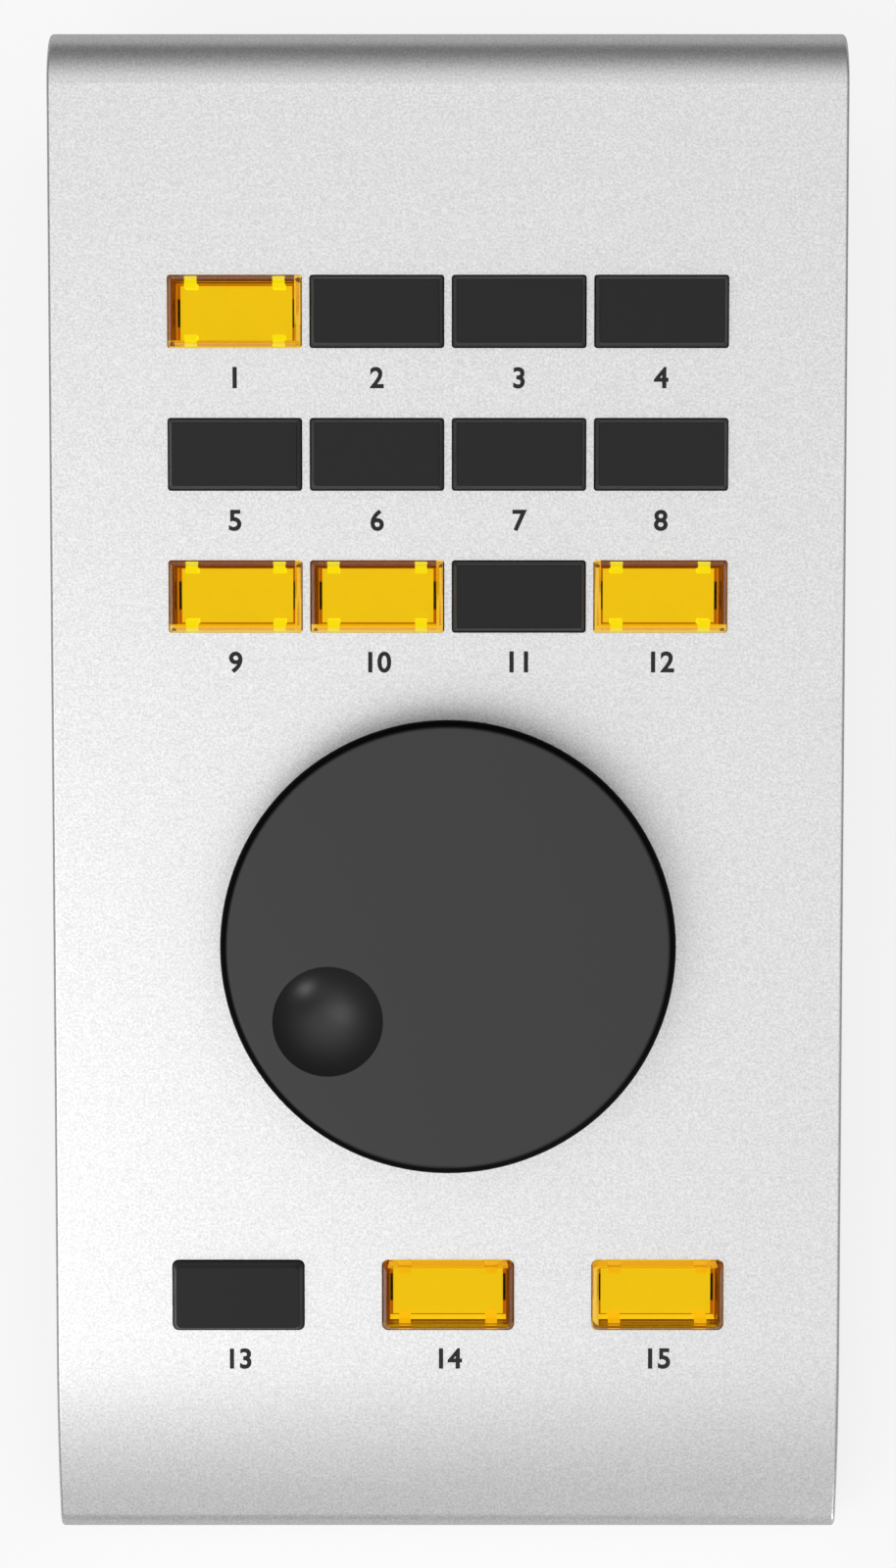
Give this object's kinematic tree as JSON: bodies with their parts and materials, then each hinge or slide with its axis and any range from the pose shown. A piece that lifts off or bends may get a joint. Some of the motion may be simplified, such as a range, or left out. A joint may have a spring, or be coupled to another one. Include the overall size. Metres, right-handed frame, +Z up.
{
  "type": "audio remote controller",
  "caption": "Desktop audio remote: sloping bent-aluminium wedge with lit push keys, a large jog wheel with a finger dimple, and rear data and footswitch sockets.",
  "frame": {"origin": "on the ground under the middle of the part's box, feet at z = 0", "axes": "+X right as the user sees it, +Y to the rear wall with the sockets, +Z up"},
  "size_m": [0.107, 0.2048, 0.0513],
  "materials": {
    "shell_aluminium": "bead blasted, clear anodised",
    "base_steel": "matt black powder coat",
    "cheek_plastic": "fine moulded texture",
    "foot_rubber": "matt",
    "screw_steel": "black oxide",
    "wheel_plastic": "fine satin texture",
    "spring_steel": "bright",
    "shaft_steel": "turned",
    "nut_metal": "nickel plated",
    "board_laminate": "green solder mask",
    "switch_plastic": "moulded",
    "lamp_resin": "cast",
    "pillar_brass": "turned",
    "chip_resin": "moulded",
    "ribbon_vinyl": "extruded",
    "socket_metal": "drawn, plated",
    "tongue_plastic": "moulded",
    "jack_plastic": "moulded",
    "cap_dark": "satin, smoked",
    "cap_amber": "satin, lit from inside",
    "carrier_dark": "moulded, unlit",
    "carrier_amber": "moulded, lit"
  },
  "bodies": {
    "enclosure": {"top_shell": "shell_aluminium", "base_plate": "base_steel", "left_cheek": "cheek_plastic", "right_cheek": "cheek_plastic", "rubber_feet": "foot_rubber", "cheek_screws": "screw_steel", "base_screws": "screw_steel", "encoder_bushing": "shaft_steel", "encoder_body": "switch_plastic", "encoder_nut": "nut_metal", "encoder_washer": "nut_metal", "main_board": "board_laminate", "key_switches": "switch_plastic", "leds": "lamp_resin", "standoffs": "pillar_brass", "board_screws": "screw_steel", "microcontroller": "chip_resin", "io_board": "board_laminate", "io_standoffs": "pillar_brass", "io_screws": "screw_steel", "board_connectors": "switch_plastic", "ribbon_cable": "ribbon_vinyl", "usb_socket": "socket_metal", "usb_tongue": "tongue_plastic", "footswitch_jack": "jack_plastic", "jack_nut": "nut_metal"},
    "wheel": {"wheel": "wheel_plastic", "wheel_clip": "spring_steel", "encoder_shaft": "shaft_steel"},
    "key_1": {"key_cap_1": "cap_amber", "key_carrier_1": "carrier_amber"},
    "key_2": {"key_cap_2": "cap_dark", "key_carrier_2": "carrier_dark"},
    "key_3": {"key_cap_3": "cap_dark", "key_carrier_3": "carrier_dark"},
    "key_4": {"key_cap_4": "cap_dark", "key_carrier_4": "carrier_dark"},
    "key_5": {"key_cap_5": "cap_dark", "key_carrier_5": "carrier_dark"},
    "key_6": {"key_cap_6": "cap_dark", "key_carrier_6": "carrier_dark"},
    "key_7": {"key_cap_7": "cap_dark", "key_carrier_7": "carrier_dark"},
    "key_8": {"key_cap_8": "cap_dark", "key_carrier_8": "carrier_dark"},
    "key_9": {"key_cap_9": "cap_amber", "key_carrier_9": "carrier_amber"},
    "key_10": {"key_cap_10": "cap_amber", "key_carrier_10": "carrier_amber"},
    "key_11": {"key_cap_11": "cap_dark", "key_carrier_11": "carrier_dark"},
    "key_12": {"key_cap_12": "cap_amber", "key_carrier_12": "carrier_amber"},
    "key_13": {"key_cap_13": "cap_dark", "key_carrier_13": "carrier_dark"},
    "key_14": {"key_cap_14": "cap_amber", "key_carrier_14": "carrier_amber"},
    "key_15": {"key_cap_15": "cap_amber", "key_carrier_15": "carrier_amber"}
  },
  "joints": [
    {"name": "wheel_spin", "type": "hinge", "parent": "enclosure", "child": "wheel", "pos_m": [0, -0.02187, 0.03233], "axis": [0, -0.165, 0.9863], "continuous": true},
    {"name": "key_1_press", "type": "slide", "parent": "enclosure", "child": "key_1", "axis": [0, 0.165, -0.9863], "range_m": [0, 0.0012], "stiffness_N_per_m": 600, "springref_m": -0.0015},
    {"name": "key_2_press", "type": "slide", "parent": "enclosure", "child": "key_2", "axis": [0, 0.165, -0.9863], "range_m": [0, 0.0012], "stiffness_N_per_m": 600, "springref_m": -0.0015},
    {"name": "key_3_press", "type": "slide", "parent": "enclosure", "child": "key_3", "axis": [0, 0.165, -0.9863], "range_m": [0, 0.0012], "stiffness_N_per_m": 600, "springref_m": -0.0015},
    {"name": "key_4_press", "type": "slide", "parent": "enclosure", "child": "key_4", "axis": [0, 0.165, -0.9863], "range_m": [0, 0.0012], "stiffness_N_per_m": 600, "springref_m": -0.0015},
    {"name": "key_5_press", "type": "slide", "parent": "enclosure", "child": "key_5", "axis": [0, 0.165, -0.9863], "range_m": [0, 0.0012], "stiffness_N_per_m": 600, "springref_m": -0.0015},
    {"name": "key_6_press", "type": "slide", "parent": "enclosure", "child": "key_6", "axis": [0, 0.165, -0.9863], "range_m": [0, 0.0012], "stiffness_N_per_m": 600, "springref_m": -0.0015},
    {"name": "key_7_press", "type": "slide", "parent": "enclosure", "child": "key_7", "axis": [0, 0.165, -0.9863], "range_m": [0, 0.0012], "stiffness_N_per_m": 600, "springref_m": -0.0015},
    {"name": "key_8_press", "type": "slide", "parent": "enclosure", "child": "key_8", "axis": [0, 0.165, -0.9863], "range_m": [0, 0.0012], "stiffness_N_per_m": 600, "springref_m": -0.0015},
    {"name": "key_9_press", "type": "slide", "parent": "enclosure", "child": "key_9", "axis": [0, 0.165, -0.9863], "range_m": [0, 0.0012], "stiffness_N_per_m": 600, "springref_m": -0.0015},
    {"name": "key_10_press", "type": "slide", "parent": "enclosure", "child": "key_10", "axis": [0, 0.165, -0.9863], "range_m": [0, 0.0012], "stiffness_N_per_m": 600, "springref_m": -0.0015},
    {"name": "key_11_press", "type": "slide", "parent": "enclosure", "child": "key_11", "axis": [0, 0.165, -0.9863], "range_m": [0, 0.0012], "stiffness_N_per_m": 600, "springref_m": -0.0015},
    {"name": "key_12_press", "type": "slide", "parent": "enclosure", "child": "key_12", "axis": [0, 0.165, -0.9863], "range_m": [0, 0.0012], "stiffness_N_per_m": 600, "springref_m": -0.0015},
    {"name": "key_13_press", "type": "slide", "parent": "enclosure", "child": "key_13", "axis": [0, 0.165, -0.9863], "range_m": [0, 0.0012], "stiffness_N_per_m": 600, "springref_m": -0.0015},
    {"name": "key_14_press", "type": "slide", "parent": "enclosure", "child": "key_14", "axis": [0, 0.165, -0.9863], "range_m": [0, 0.0012], "stiffness_N_per_m": 600, "springref_m": -0.0015},
    {"name": "key_15_press", "type": "slide", "parent": "enclosure", "child": "key_15", "axis": [0, 0.165, -0.9863], "range_m": [0, 0.0012], "stiffness_N_per_m": 600, "springref_m": -0.0015}
  ]
}
